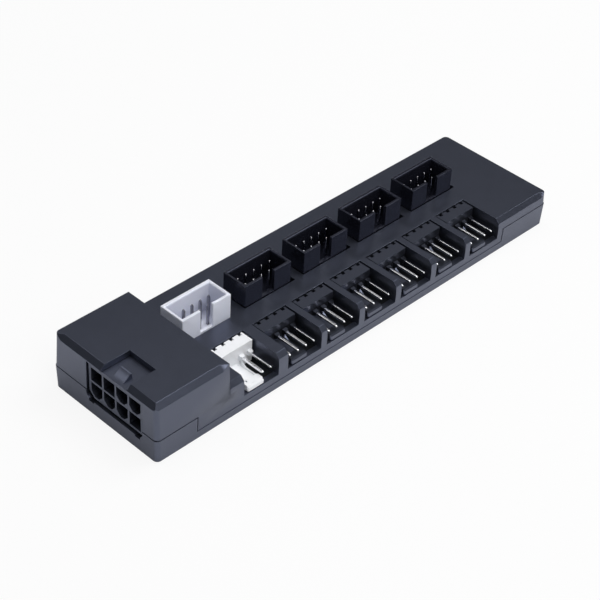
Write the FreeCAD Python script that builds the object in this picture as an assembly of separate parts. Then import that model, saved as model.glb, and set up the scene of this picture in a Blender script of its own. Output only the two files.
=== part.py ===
import FreeCAD, Part
import math
import os

# Fan controller hub, in millimetres, +Z up.
# The origin is the middle of the footprint, on the surface that the hub stands on.
# Places along the hub are measured from its power end, and places across it from the front,
# which is the side with the open bays.

# Case
body_length = 131.2
body_width = 34.4
block_length = 21.4
block_height = 15.7
deck_height = 9.6
seam_height = 6.3
seam_gap = 0.12
corner_radius = 1.2
shell_base_inset = 0.18
shell_base_bevel = 0.15
cover_step = 0.1
side_draft = 0.055
end_draft = 0.02
wall = 1.8
floor_thickness = 1.2
deck_thickness = 1.6
block_roof = 1.55
lip_inset = 0.95
lip_depth = 1.2
lip_gap = 0.1
block_bevel = 1.2
deck_bevel = 1.05
bevel_stop = 0.3
bevel_run_out = 1.7

# Bays along the front edge
bay_width = 10.65
bay_depth = 12.1
bay_wall = 1.85
sill_height = 4.0
signal_bay_centre = 30.95
first_fan_centre = 44.53
fan_pitch = 12.52
fan_count = 6
skirt_start = 11.7
skirt_start_gap = 0.3
skirt_bottom = 2.2
skirt_bottom_gap = 0.06

# Circuit board
board_bottom = 2.4
board_thickness = 1.2
board_edge_gap = 0.2
board_corner = 0.6
hold_gap = 0.1
post_length = 4.0
post_width = 2.0
rib_thickness = 1.2
post_end_gap = 3.9
middle_post_station = 65.0
rib_end_gap = 7.7
rib_stations = (38.6, 60.0, 78.9, 97.8)

# Square pins on a 2.54 mm grid
pin_pitch = 2.54
pin_size = 0.64
pin_tip_size = 0.3
pin_tip_length = 0.6
pin_fit_gap = 0.02
pin_hole_radius = 0.5
tail_bottom = 1.5
tail_taper = 0.3

# Box headers, two rows of five with one place empty
box_back_margin = 13.25
box_length = 14.6
box_width = 7.4
box_end_wall = 0.75
box_side_wall = 0.9
box_floor_height = 8.6
box_rim_height = 15.6
box_notch_width = 3.8
box_notch_bottom = 9.9
box_rim_bevel = 0.25
box_columns = 5
box_foot_height = 0.5
box_foot_length = 2.4
box_tip_height = 14.1
window_gap = 0.2
window_far_gap = 1.4
first_box_centre = 49.5
box_pitch = 18.92
box_count = 4
input_box_centre = 30.3
input_rim_height = 16.1

# Right-angle fan headers, four ways
fan_way_count = 4
fan_body_gap = 0.22
fan_body_far_gap = 0.55
fan_body_front = 8.3
fan_body_back_gap = 0.35
fan_top_gap = 0.05
fan_pin_height = 6.6
fan_pin_tip = 1.0
fan_bend_radius = 0.7
groove_width = 0.95
groove_depth = 0.72
collar_size = 1.3
collar_tip_size = 0.95
collar_length = 0.95
tongue_left = 2.7
tongue_right = 0.85
tongue_bottom = 4.2
tongue_thickness = 1.0
tongue_end = 0.4
hook_length = 2.1
hook_height = 1.5
hook_overhang = 1.15
hook_radius = 0.5
hook_slot_width = 0.45
hook_slot_length = 0.7
tongue_groove_offset = 0.05
tongue_groove_width = 0.9
tongue_groove_depth = 0.2
tongue_groove_length = 5.2
gusset_width = 0.6
gusset_length = 2.2
gusset_height = 1.4
signal_empty_way_count = 2

# Power inlet, four columns and two rows of cells
inlet_face = 0.6
inlet_offset = 3.3
inlet_width = 17.7
inlet_bottom = 4.6
inlet_depth = 12.8
inlet_far_bevel = 1.7
inlet_near_bevel = 0.5
cell_pitch = 4.2
cell_size = 3.65
cell_top_wall = 1.0
cell_bevel = 1.15
cell_depth = 11.0
inlet_columns = 4
square_cells = ((0, 1), (1, 1), (3, 0))
inlet_gap = 0.4
opening_radius = 1.6
opening_bottom = 3.95
opening_notch_width = 1.7
opening_notch_depth = 0.5
contact_size = 1.1
contact_tip_setback = 3.2
contact_tip_length = 0.9
contact_tip_size = 0.5
contact_bend_radius = 1.4
contact_leg_gap = 1.3
contact_hole_radius = 0.85
foot_rail_width = 1.5
foot_rail_setback = 3.0
recess_length = 8.5
recess_width = 8.5
recess_offset = 0.15
inlet_roof_gap = 0.11
ramp_width = 3.2
ramp_start = 0.8
ramp_length = 2.1
ramp_height = 1.55
ramp_flat = 0.5

# Parts on the board
capacitor_radius = 3.15
capacitor_height = 9.0
capacitor_groove = 0.35
capacitor_edge = 0.5
capacitor_wall_gap = 1.15
capacitor_stations = (6.6, 14.4)
capacitor_lead_spacing = 2.5
capacitor_lead_size = 0.5
controller_station = 46.0
driver_stations = (70.0, 89.0, 108.0)
chip_back_margin = 5.4
lead_width = 0.3
lead_thickness = 0.16
lead_foot = 0.6
controller_size = (6.5, 4.4, 1.1)
controller_lead_count = 10
controller_lead_pitch = 0.65
driver_size = (4.9, 3.9, 1.5)
driver_lead_count = 4
driver_lead_pitch = 1.27
chip_standoff = 0.1
resistor_size = (1.6, 0.8, 0.45)
resistor_spacing = 3.2

# Sizes that follow from those above
board_top = board_bottom + board_thickness
deck_ceiling = deck_height - deck_thickness
block_ceiling = block_height - block_roof
cover_bottom = seam_height + seam_gap / 2
shell_rim = seam_height - seam_gap / 2
box_line = body_width - box_back_margin
chip_line = body_width - chip_back_margin
capacitor_line = body_width - wall - capacitor_wall_gap - capacitor_radius
resistor_line = (bay_depth + box_line - box_width / 2) / 2
inlet_centre = body_width / 2 - inlet_offset
inlet_height = block_ceiling - inlet_roof_gap - inlet_bottom
margin = 1.0

Vector = FreeCAD.Vector


def along(distance):
    """X of a place this far from the power end."""
    return distance - body_length / 2


def across(distance):
    """Y of a place this far behind the front side."""
    return distance - body_width / 2


def block(x0, x1, y0, y1, z0, z1):
    """Box between two stations along, two across and two heights."""
    return Part.makeBox(x1 - x0, y1 - y0, z1 - z0, Vector(along(x0), across(y0), z0))


def outline(x0, x1, y0, y1, z, radius):
    """Closed wire of a rectangle with round corners, at height z."""
    left, right, front, back = along(x0), along(x1), across(y0), across(y1)
    corners = (
        Vector(right - radius, front + radius, z),
        Vector(right - radius, back - radius, z),
        Vector(left + radius, back - radius, z),
        Vector(left + radius, front + radius, z),
    )
    sides = (Vector(0, -1, 0), Vector(1, 0, 0), Vector(0, 1, 0), Vector(-1, 0, 0))
    arcs = []
    for corner, before, after in zip(corners, sides, sides[1:] + sides[:1]):
        diagonal = (before + after) * math.sqrt(0.5)
        arcs.append(Part.Arc(corner + before * radius, corner + diagonal * radius, corner + after * radius))
    edges = []
    for arc, following in zip(arcs, arcs[1:] + arcs[:1]):
        edges += [arc.toShape(), Part.makeLine(arc.EndPoint, following.StartPoint)]
    return Part.Wire(edges)


def tapered(levels, radius):
    """Solid through outlines of the case, each level given as end inset, side inset and height."""
    wires = []
    for end, side, z in levels:
        wires.append(outline(end, body_length - end, side, body_width - side, z, radius))
    return Part.makeLoft(wires, True, True)


def core(inset, z0, z1):
    """Straight solid inside the case outline, this far in from it all round."""
    radius = max(corner_radius - inset, corner_radius / 3)
    wire = outline(inset, body_length - inset, inset, body_width - inset, z0, radius)
    return Part.Face(wire).extrude(Vector(0, 0, z1 - z0))


def prism(points, direction):
    """Solid swept from a flat polygon."""
    vectors = [Vector(*point) for point in points]
    return Part.Face(Part.makePolygon(vectors + vectors[:1])).extrude(direction)


def square_loft(sections):
    """Solid through squares, each given as a centre, a size and the two unit vectors of its plane."""
    wires = []
    for centre, size, u, v in sections:
        half = size / 2
        points = [centre + u * (a * half) + v * (b * half) for a, b in ((-1, -1), (1, -1), (1, 1), (-1, 1))]
        wires.append(Part.makePolygon(points + points[:1]))
    return Part.makeLoft(wires, True, True)


def joined(shapes):
    """One solid from shapes that meet or overlap."""
    return shapes[0].fuse(shapes[1:]).removeSplitter()


def side_inset(z):
    """How far the drafted front or back face of the cover has moved in at height z."""
    return cover_step + side_draft * (z - seam_height)


def end_inset(z):
    """How far a drafted end face of the cover has moved in at height z."""
    return cover_step + end_draft * (z - seam_height)


def fan_centres():
    """Stations of the fan headers."""
    return [first_fan_centre + fan_pitch * index for index in range(fan_count)]


def bay_centres():
    """Stations of every bay, the signal bay first."""
    return [signal_bay_centre] + fan_centres()


def box_centres():
    """Stations of the black box headers."""
    return [first_box_centre + box_pitch * index for index in range(box_count)]


def divider_spans():
    """Start and end station of each wall beside a bay."""
    centres = bay_centres()
    half = bay_width / 2
    spans = [(centres[0] - half - bay_wall, centres[0] - half)]
    for before, after in zip(centres, centres[1:]):
        spans.append((before + half, after - half))
    spans.append((centres[-1] + half, centres[-1] + half + bay_wall))
    return spans


def skirt_end():
    """Station where the cover's front skirt stops, level with the last bay's wall."""
    return divider_spans()[-1][1]


# Case

def front_bevel(x0, x1, top, size):
    """Cutter for a 45 degree bevel on a top front edge, run out to nothing at its far end."""
    edge = side_inset(top)
    wires = []
    for x, depth in ((x0, size), (x1 - bevel_run_out, size), (x1, 0)):
        points = [
            Vector(along(x), across(edge + depth + margin), top + margin),
            Vector(along(x), across(-margin), top + margin),
            Vector(along(x), across(-margin), top - edge - depth - margin),
        ]
        wires.append(Part.makePolygon(points + points[:1]))
    return Part.makeLoft(wires, True, True)


def end_bevel(y0, y1, top, size):
    """Cutter for a 45 degree bevel on the top edge of the power end, run out to nothing at the back."""
    edge = end_inset(top)
    wires = []
    for y, depth in ((y0, size), (y1 - bevel_run_out, size), (y1, 0)):
        points = [
            Vector(along(edge + depth + margin), across(y), top + margin),
            Vector(along(-margin), across(y), top + margin),
            Vector(along(-margin), across(y), top - edge - depth - margin),
        ]
        wires.append(Part.makePolygon(points + points[:1]))
    return Part.makeLoft(wires, True, True)


def inlet_opening():
    """Cutter for the power inlet's opening in the end wall, with a small notch at each lower corner."""
    left = inlet_centre + inlet_width / 2 + inlet_gap
    right = inlet_centre - inlet_width / 2 - inlet_gap
    top = inlet_bottom + inlet_height + inlet_roof_gap
    radius = opening_radius
    start = Vector(along(-margin), 0, 0)
    low_left = Vector(start.x, across(left), opening_bottom)
    low_right = Vector(start.x, across(right), opening_bottom)
    along_y = Vector(0, 1, 0)
    up = Vector(0, 0, 1)
    diagonal = radius * (1 - math.sqrt(0.5))
    edges = [
        Part.Arc(
            low_left + up * radius,
            low_left - along_y * diagonal + up * diagonal,
            low_left - along_y * radius,
        ).toShape(),
        Part.makeLine(low_left - along_y * radius, low_right + along_y * radius),
        Part.Arc(
            low_right + along_y * radius,
            low_right + along_y * diagonal + up * diagonal,
            low_right + up * radius,
        ).toShape(),
        Part.makeLine(low_right + up * radius, Vector(start.x, low_right.y, top)),
        Part.makeLine(Vector(start.x, low_right.y, top), Vector(start.x, low_left.y, top)),
        Part.makeLine(Vector(start.x, low_left.y, top), low_left + up * radius),
    ]
    cutter = Part.Face(Part.Wire(edges)).extrude(Vector(2 * margin + wall, 0, 0))
    notch_low = opening_bottom - opening_notch_depth
    notch_high = opening_bottom + radius
    reach = wall + margin
    near = block(-margin, reach, right + radius / 2, right + radius / 2 + opening_notch_width,
                 notch_low, notch_high)
    far = block(-margin, reach, left - radius / 2 - opening_notch_width, left - radius / 2,
                notch_low, notch_high)
    return joined([cutter, near, far])


def cover_blank():
    """Outer form of the cover: drafted block and deck, bevelled, with the skirt and the lip below."""
    levels = [
        (end_inset(cover_bottom), side_inset(cover_bottom), cover_bottom),
        (end_inset(block_height), side_inset(block_height), block_height),
    ]
    upper = tapered(levels, corner_radius)
    upper = upper.cut(block(block_length, body_length + margin, -margin, body_width + margin,
                            deck_height, block_height + margin))
    back_stop = body_width - side_inset(block_height) - bevel_stop
    block_stop = block_length - bevel_stop
    far_stop = body_length - end_inset(deck_height) - bevel_stop
    upper = upper.cut([
        front_bevel(-margin, block_stop, block_height, block_bevel),
        end_bevel(-margin, back_stop, block_height, block_bevel),
        front_bevel(block_length, far_stop, deck_height, deck_bevel),
    ])
    step = side_inset(cover_bottom)
    lower = tapered([(shell_base_inset + step, shell_base_inset + step, 0), (step, step, cover_bottom)],
                    corner_radius)
    skirt = lower.common(block(skirt_start + skirt_start_gap, skirt_end(), -margin, bay_depth,
                               skirt_bottom, cover_bottom))
    lip = core(lip_inset, seam_height - lip_depth, cover_bottom)
    return joined([upper, skirt, lip])


def cover_hollow():
    """Space inside the cover, without the walls beside the bays and the ribs on the back wall."""
    low = core(wall, 0, deck_ceiling)
    high = block(wall, block_length - wall, wall, body_width - wall, 0, block_ceiling)
    space = low.fuse(high)
    keep = []
    for start, end in divider_spans():
        keep.append(block(start, end, 0, bay_depth, board_top + hold_gap, deck_ceiling))
    for station in rib_stations + (body_length - rib_end_gap - rib_thickness,):
        keep.append(block(station, station + rib_thickness, body_width - wall - post_width, body_width,
                          board_top + hold_gap, deck_ceiling))
    return space.cut(keep)


def box_window(centre, far_gap):
    """Cutter for the window in the deck that a box header stands in."""
    half_length = box_length / 2
    half_width = box_width / 2
    return block(centre - half_length - window_gap, centre + half_length + far_gap,
                 box_line - half_width - window_gap, box_line + half_width + window_gap,
                 deck_ceiling - margin, deck_height + margin)


def moulded_cover():
    """Upper shell in one: block over the power inlet, deck, windows, bays and skirt."""
    cutters = [cover_hollow(), inlet_opening()]
    for centre in bay_centres():
        cutters.append(block(centre - bay_width / 2, centre + bay_width / 2, -margin, bay_depth,
                             sill_height, deck_height + margin))
    cutters.append(box_window(input_box_centre, window_gap))
    for centre in box_centres():
        cutters.append(box_window(centre, window_far_gap))
    recess_front = inlet_centre + recess_offset - recess_width / 2
    cutters.append(block(-margin, recess_length, recess_front, recess_front + recess_width,
                         block_ceiling - margin, block_height + margin))
    return cover_blank().cut(cutters)


def cover_parts():
    """The cover in three simple parts that meet face to face: over the inlet, along the bays, the rest."""
    cover = moulded_cover()
    spans = divider_spans()
    over_inlet = block(-margin, block_length, -margin, body_width + margin, 0, block_height + margin)
    along_bays = block(spans[0][0], spans[-1][1], -margin, bay_depth, 0, deck_height + margin)
    return {
        "inlet_cover": cover.common(over_inlet),
        "deck_cover": cover.cut([over_inlet, along_bays]),
        "bay_rail": cover.common(along_bays),
    }


def bottom_shell():
    """Moulded tray with a stepped rim, low along the bays, and posts under the circuit board."""
    base = shell_base_inset
    levels = [
        (base + shell_base_bevel, base + shell_base_bevel, 0),
        (base, base, shell_base_bevel),
        (0, 0, shell_rim),
    ]
    tray = tapered(levels, corner_radius)
    tray = tray.cut([
        core(wall, floor_thickness, shell_rim + margin),
        core(lip_inset - lip_gap, seam_height - lip_depth - lip_gap, shell_rim + margin),
        block(skirt_start, skirt_end() + seam_gap, -margin, wall, skirt_bottom - skirt_bottom_gap,
              shell_rim + margin),
        inlet_opening(),
    ])
    posts = []
    inner = wall + board_edge_gap
    for station in (post_end_gap, middle_post_station, body_length - post_end_gap - post_length):
        for y in (inner, body_width - inner - post_width):
            posts.append(block(station, station + post_length, y, y + post_width,
                               floor_thickness, board_bottom))
    return joined([tray] + posts)


# Pins

def straight_pin(x, y, top):
    """Upright square pin through the board, with a pointed tip and a short tail."""
    u = Vector(1, 0, 0)
    v = Vector(0, 1, 0)
    foot = Vector(along(x), across(y), 0)
    sections = (
        (foot + Vector(0, 0, tail_bottom), pin_tip_size, u, v),
        (foot + Vector(0, 0, tail_bottom + tail_taper), pin_size, u, v),
        (foot + Vector(0, 0, top - pin_tip_length), pin_size, u, v),
        (foot + Vector(0, 0, top), pin_tip_size, u, v),
    )
    return square_loft(sections)


def bent_pin(tip, heading, length, drop, size, tip_size, tip_length, bend_radius):
    """Square pin from its tip along heading, round one bend and down through the board."""
    down = Vector(0, 0, -1)
    sideways = heading.cross(down)
    half = size / 2
    inner = bend_radius - size
    corner = tip + heading * length
    outer_turn = corner + heading * (half - bend_radius) + down * (bend_radius - half)
    diagonal = (heading - down) * math.sqrt(0.5)
    low = corner + down * drop
    shoulder = tip + heading * tip_length
    edges = [
        Part.makeLine(shoulder - down * half, outer_turn - down * bend_radius),
        Part.Arc(outer_turn - down * bend_radius, outer_turn + diagonal * bend_radius,
                 outer_turn + heading * bend_radius).toShape(),
        Part.makeLine(outer_turn + heading * bend_radius, low + heading * half),
        Part.makeLine(low + heading * half, low - heading * half),
        Part.makeLine(low - heading * half, outer_turn + heading * inner),
        Part.Arc(outer_turn + heading * inner, outer_turn + diagonal * inner,
                 outer_turn - down * inner).toShape(),
        Part.makeLine(outer_turn - down * inner, shoulder + down * half),
        Part.makeLine(shoulder + down * half, shoulder - down * half),
    ]
    profile = Part.Face(Part.Wire(edges))
    profile.translate(sideways * -half)
    bar = profile.extrude(sideways * size)
    point = square_loft(((tip, tip_size, sideways, down), (shoulder, size, sideways, down)))
    return joined([bar, point])


# Box headers

def box_pin_places(centre):
    """Station and place across of each fitted pin: the front row has its far place empty."""
    places = []
    for row in (-0.5, 0.5):
        for column in range(box_columns):
            last = column == box_columns - 1
            if row < 0 and last:
                continue
            offset = column - (box_columns - 1) / 2
            places.append((centre + offset * pin_pitch, box_line + row * pin_pitch))
    return places


def box_pins(centre):
    """Pins of one box header."""
    return Part.makeCompound([straight_pin(x, y, box_tip_height) for x, y in box_pin_places(centre)])


def box_shell(centre, rim):
    """Shroud of a box header: four walls on a deep base, a key notch in front, feet below."""
    half_length = box_length / 2
    half_width = box_width / 2
    front = box_line - half_width
    back = box_line + half_width
    body = block(centre - half_length, centre + half_length, front, back, board_top, rim)
    inner_x = (centre - half_length + box_end_wall, centre + half_length - box_end_wall)
    inner_y = (front + box_side_wall, back - box_side_wall)
    well = block(inner_x[0], inner_x[1], inner_y[0], inner_y[1], box_floor_height, rim + margin)
    mouth = []
    for z, grow in ((rim - box_rim_bevel, 0), (rim, box_rim_bevel)):
        corners = (
            (inner_x[0] - grow, inner_y[0] - grow),
            (inner_x[1] + grow, inner_y[0] - grow),
            (inner_x[1] + grow, inner_y[1] + grow),
            (inner_x[0] - grow, inner_y[1] + grow),
        )
        points = [Vector(along(x), across(y), z) for x, y in corners]
        mouth.append(Part.makePolygon(points + points[:1]))
    lead_in = Part.makeLoft(mouth, True, True)
    notch = block(centre - box_notch_width / 2, centre + box_notch_width / 2, front - margin,
                  inner_y[0] + margin, box_notch_bottom, rim + margin)
    under = block(centre - half_length + box_foot_length, centre + half_length - box_foot_length,
                  front - margin, back + margin, board_top - margin, board_top + box_foot_height)
    cutters = [well, lead_in, notch, under]
    hole = pin_size / 2 + pin_fit_gap
    for x, y in box_pin_places(centre):
        cutters.append(block(x - hole, x + hole, y - hole, y + hole, board_top - margin,
                             box_floor_height + margin))
    return body.cut(cutters)


# Fan headers

def fan_pin_stations(centre):
    """Station of each of the four pin places."""
    return [centre + (way - (fan_way_count - 1) / 2) * pin_pitch for way in range(fan_way_count)]


def fan_leg_place():
    """Place across of the pins' upright legs, in the grooves at the back of the body."""
    return bay_depth - fan_body_back_gap - pin_size / 2


def fan_pins(centre, numbers):
    """Bent pins of one fan header, for the numbered places."""
    pins = []
    leg = fan_leg_place()
    for number in numbers:
        x = fan_pin_stations(centre)[number - 1]
        tip = Vector(along(x), across(fan_pin_tip), fan_pin_height)
        pins.append(bent_pin(tip, Vector(0, 1, 0), leg - fan_pin_tip, fan_pin_height - tail_bottom,
                             pin_size, pin_tip_size, pin_tip_length, fan_bend_radius))
    return Part.makeCompound(pins)


def tongue(centre):
    """Locking tongue under the pins: plate, raised hook with round corners, slot and groove."""
    left = centre - tongue_left
    right = centre + tongue_right
    top = tongue_bottom + tongue_thickness
    plate = block(left, right, tongue_end, fan_body_front, tongue_bottom, top)
    hook_back = tongue_end + hook_length
    hook_wire = outline(left - hook_overhang, right, tongue_end, hook_back, tongue_bottom, hook_radius)
    hook = Part.Face(hook_wire).extrude(Vector(0, 0, hook_height))
    start = along(left - hook_overhang - margin)
    high = tongue_bottom + hook_height
    lead = hook_height - tongue_thickness
    slope = prism(
        [
            (start, across(tongue_end - margin), high - lead - margin),
            (start, across(tongue_end - margin), high + margin),
            (start, across(tongue_end + lead + margin), high + margin),
        ],
        Vector(right - left + hook_overhang + 2 * margin, 0, 0),
    )
    hook = hook.cut(slope)
    slot = block(left - hook_slot_width, left, hook_back - hook_slot_length, hook_back + margin,
                 tongue_bottom - margin, high + margin)
    groove_x = centre - tongue_groove_offset
    groove = block(groove_x - tongue_groove_width / 2, groove_x + tongue_groove_width / 2,
                   hook_back, hook_back + tongue_groove_length, top - tongue_groove_depth, top + margin)
    return joined([plate, hook]).cut([slot, groove])


def gusset(x):
    """Small web that stiffens the tongue's root beside its edge."""
    low = tongue_bottom
    points = [
        (along(x), across(fan_body_front), low),
        (along(x), across(fan_body_front - gusset_length), low),
        (along(x), across(fan_body_front), low + gusset_height),
    ]
    return prism(points, Vector(gusset_width, 0, 0))


def fan_body(centre, numbers):
    """Moulded body of a right-angle header, with back grooves, pin collars and the tongue."""
    back = bay_depth - fan_body_back_gap
    body = block(centre - bay_width / 2 + fan_body_gap, centre + bay_width / 2 - fan_body_far_gap,
                 fan_body_front, back, board_top, deck_height - fan_top_gap)
    stations = fan_pin_stations(centre)
    grooves = []
    for x in stations:
        grooves.append(block(x - groove_width / 2, x + groove_width / 2, back - groove_depth,
                             back + margin, board_top - margin, deck_height + margin))
    parts = [body.cut(grooves), tongue(centre), gusset(centre + tongue_right)]
    holes = []
    hole = pin_size / 2 + pin_fit_gap
    u = Vector(1, 0, 0)
    v = Vector(0, 0, 1)
    for number in numbers:
        x = stations[number - 1]
        root = Vector(along(x), across(fan_body_front), fan_pin_height)
        parts.append(square_loft((
            (root, collar_size, u, v),
            (root - Vector(0, collar_length, 0), collar_tip_size, u, v),
        )))
        holes.append(block(x - hole, x + hole, fan_body_front - collar_length - margin, back + margin,
                           fan_pin_height - hole, fan_pin_height + hole))
    return joined(parts).cut(holes)


# Power inlet

def inlet_cells():
    """Column, row, place across and height of each cell's centre; row 1 is the upper one."""
    upper = inlet_bottom + inlet_height - cell_top_wall - cell_size / 2
    cells = []
    for row in (0, 1):
        for column in range(inlet_columns):
            y = inlet_centre + ((inlet_columns - 1) / 2 - column) * cell_pitch
            cells.append((column, row, y, upper - (1 - row) * cell_pitch))
    return cells


def bevelled_outline(x, y, z, half_width, half_height, far_bevel, near_bevel):
    """Upright polygon whose two lower corners are cut off, the far one and the one near the front."""
    return [
        (along(x), across(y + half_width), z + half_height),
        (along(x), across(y + half_width), z - half_height + far_bevel),
        (along(x), across(y + half_width - far_bevel), z - half_height),
        (along(x), across(y - half_width + near_bevel), z - half_height),
        (along(x), across(y - half_width), z - half_height + near_bevel),
        (along(x), across(y - half_width), z + half_height),
    ]


def contact_legs():
    """Station of the upright legs of the lower and the upper row of contacts."""
    lower = inlet_face + inlet_depth + contact_leg_gap
    return lower, lower + cell_pitch


def power_inlet_housing():
    """Moulded inlet with eight cells, some keyed, a latch ramp on top and two foot rails."""
    middle = inlet_bottom + inlet_height / 2
    shell = prism(
        bevelled_outline(inlet_face, inlet_centre, middle, inlet_width / 2, inlet_height / 2,
                         inlet_far_bevel, inlet_near_bevel),
        Vector(inlet_depth, 0, 0),
    )
    top = inlet_bottom + inlet_height
    start = inlet_face + ramp_start
    ridge = start + ramp_length
    ramp_side = inlet_centre - ramp_width / 2
    ramp = prism(
        [
            (along(start), across(ramp_side), top),
            (along(ridge), across(ramp_side), top + ramp_height),
            (along(ridge + ramp_flat), across(ramp_side), top + ramp_height),
            (along(ridge + ramp_flat), across(ramp_side), top),
        ],
        Vector(0, ramp_width, 0),
    )
    rails = []
    for y in (inlet_centre - inlet_width / 2 + inlet_near_bevel,
              inlet_centre + inlet_width / 2 - inlet_far_bevel - foot_rail_width):
        rails.append(block(inlet_face + foot_rail_setback, inlet_face + inlet_depth, y,
                           y + foot_rail_width, board_top, inlet_bottom))
    cutters = []
    hole = contact_size / 2 + pin_fit_gap
    for column, row, y, z in inlet_cells():
        half = cell_size / 2
        if (column, row) in square_cells:
            cutters.append(block(inlet_face - margin, inlet_face + cell_depth, y - half, y + half,
                                 z - half, z + half))
        else:
            points = bevelled_outline(inlet_face - margin, y, z, half, half, cell_bevel, cell_bevel)
            cutters.append(prism(points, Vector(cell_depth + margin, 0, 0)))
        cutters.append(block(inlet_face + cell_depth - margin, inlet_face + inlet_depth + margin,
                             y - hole, y + hole, z - hole, z + hole))
    return joined([shell, ramp] + rails).cut(cutters)


def power_inlet_contacts():
    """Eight bent contacts, one in each cell."""
    contacts = []
    legs = contact_legs()
    start = inlet_face + contact_tip_setback
    for column, row, y, z in inlet_cells():
        tip = Vector(along(start), across(y), z)
        contacts.append(bent_pin(tip, Vector(1, 0, 0), legs[row] - start, z - tail_bottom, contact_size,
                                 contact_tip_size, contact_tip_length, contact_bend_radius))
    return Part.makeCompound(contacts)


# Parts on the board

def capacitor_lead_places():
    """Station and place across of each capacitor lead."""
    places = []
    for station in capacitor_stations:
        for side in (-0.5, 0.5):
            places.append((station + side * capacitor_lead_spacing, capacitor_line))
    return places


def input_capacitors():
    """Round supply capacitors, each a crimped can with two leads through the board."""
    cans = []
    radius = capacitor_radius
    groove = capacitor_groove
    profile = (
        (0, board_top),
        (radius - groove, board_top),
        (radius, board_top + groove),
        (radius, board_top + 2 * groove),
        (radius - groove, board_top + 3 * groove),
        (radius, board_top + 4 * groove),
        (radius, board_top + capacitor_height - capacitor_edge),
        (radius - capacitor_edge, board_top + capacitor_height),
        (0, board_top + capacitor_height),
    )
    half = capacitor_lead_size / 2
    for station in capacitor_stations:
        centre = Vector(along(station), across(capacitor_line), 0)
        points = [centre + Vector(r, 0, z) for r, z in profile]
        face = Part.Face(Part.makePolygon(points + points[:1]))
        can = face.revolve(centre, Vector(0, 0, 1))
        leads = []
        for side in (-0.5, 0.5):
            x = station + side * capacitor_lead_spacing
            leads.append(block(x - half, x + half, capacitor_line - half, capacitor_line + half,
                               tail_bottom, board_top + groove))
        cans.append(joined([can] + leads))
    return Part.makeCompound(cans)


def chip(station, size, leads, lead_pitch):
    """Chip package with bent leads along both long sides."""
    length, width, height = size
    low = board_top + chip_standoff
    parts = [block(station - length / 2, station + length / 2, chip_line - width / 2,
                   chip_line + width / 2, low, low + height)]
    knee = lead_foot
    middle = low + height / 2
    for index in range(leads):
        x = station + (index - (leads - 1) / 2) * lead_pitch - lead_width / 2
        for side in (-1, 1):
            edge = chip_line + side * width / 2
            points = [
                (along(x), across(edge), middle),
                (along(x), across(edge + side * knee), middle),
                (along(x), across(edge + side * knee), board_top + lead_thickness),
                (along(x), across(edge + side * 2 * knee), board_top + lead_thickness),
                (along(x), across(edge + side * 2 * knee), board_top),
                (along(x), across(edge + side * (knee - lead_thickness)), board_top),
                (along(x), across(edge + side * (knee - lead_thickness)), middle - lead_thickness),
                (along(x), across(edge), middle - lead_thickness),
            ]
            parts.append(prism(points, Vector(lead_width, 0, 0)))
    return joined(parts)


def chip_resistors():
    """Two small resistors behind each bay."""
    length, width, height = resistor_size
    pieces = []
    for centre in bay_centres():
        for side in (-0.5, 0.5):
            x = centre + side * resistor_spacing
            pieces.append(block(x - length / 2, x + length / 2, resistor_line - width / 2,
                                resistor_line + width / 2, board_top, board_top + height))
    return Part.makeCompound(pieces)


def circuit_board():
    """Board with a drilled hole for every pin, contact and lead."""
    edge = wall + board_edge_gap
    wire = outline(edge, body_length - edge, edge, body_width - edge, board_bottom, board_corner)
    plate = Part.Face(wire).extrude(Vector(0, 0, board_thickness))
    drills = []
    for centre in [input_box_centre] + box_centres():
        drills += [(x, y, pin_hole_radius) for x, y in box_pin_places(centre)]
    leg = fan_leg_place()
    drills += [(x, leg, pin_hole_radius) for x in fan_pin_stations(signal_bay_centre)]
    for centre in fan_centres():
        drills += [(x, leg, pin_hole_radius) for x in fan_pin_stations(centre)]
    legs = contact_legs()
    drills += [(legs[row], y, contact_hole_radius) for column, row, y, z in inlet_cells()]
    drills += [(x, y, pin_hole_radius) for x, y in capacitor_lead_places()]
    holes = []
    for x, y, radius in drills:
        foot = Vector(along(x), across(y), board_bottom - margin)
        holes.append(Part.makeCylinder(radius, board_thickness + 2 * margin, foot))
    return plate.cut(holes)


def build():
    """Every piece of the hub, by name."""
    every_way = range(1, fan_way_count + 1)
    signal_ways = range(signal_empty_way_count + 1, fan_way_count + 1)
    pieces = cover_parts()
    pieces.update({
        "bottom_shell": bottom_shell(),
        "circuit_board": circuit_board(),
        "power_inlet_housing": power_inlet_housing(),
        "power_inlet_contacts": power_inlet_contacts(),
        "input_header_shell": box_shell(input_box_centre, input_rim_height),
        "input_header_pins": box_pins(input_box_centre),
        "signal_header_body": fan_body(signal_bay_centre, signal_ways),
        "signal_header_pins": fan_pins(signal_bay_centre, signal_ways),
        "input_capacitors": input_capacitors(),
        "controller_chip": chip(controller_station, controller_size, controller_lead_count,
                                controller_lead_pitch),
        "driver_chips": Part.makeCompound([chip(station, driver_size, driver_lead_count, driver_lead_pitch)
                                           for station in driver_stations]),
        "chip_resistors": chip_resistors(),
    })
    for number, centre in enumerate(box_centres(), 1):
        pieces["box_header_shell_%d" % number] = box_shell(centre, box_rim_height)
        pieces["box_header_pins_%d" % number] = box_pins(centre)
    for number, centre in enumerate(fan_centres(), 1):
        pieces["fan_header_body_%d" % number] = fan_body(centre, every_way)
        pieces["fan_header_pins_%d" % number] = fan_pins(centre, every_way)
    return pieces


os.makedirs("parts", exist_ok=True)
for name, shape in build().items():
    shape.exportStep("parts/%s.step" % name)
    print(name, "solids", len(shape.Solids), "volume", round(shape.Volume, 2), "valid", shape.isValid())
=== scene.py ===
import math

import bmesh
import bpy
from bpy.props import FloatProperty, FloatVectorProperty, IntProperty, PointerProperty
from mathutils import Matrix, Vector


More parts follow.
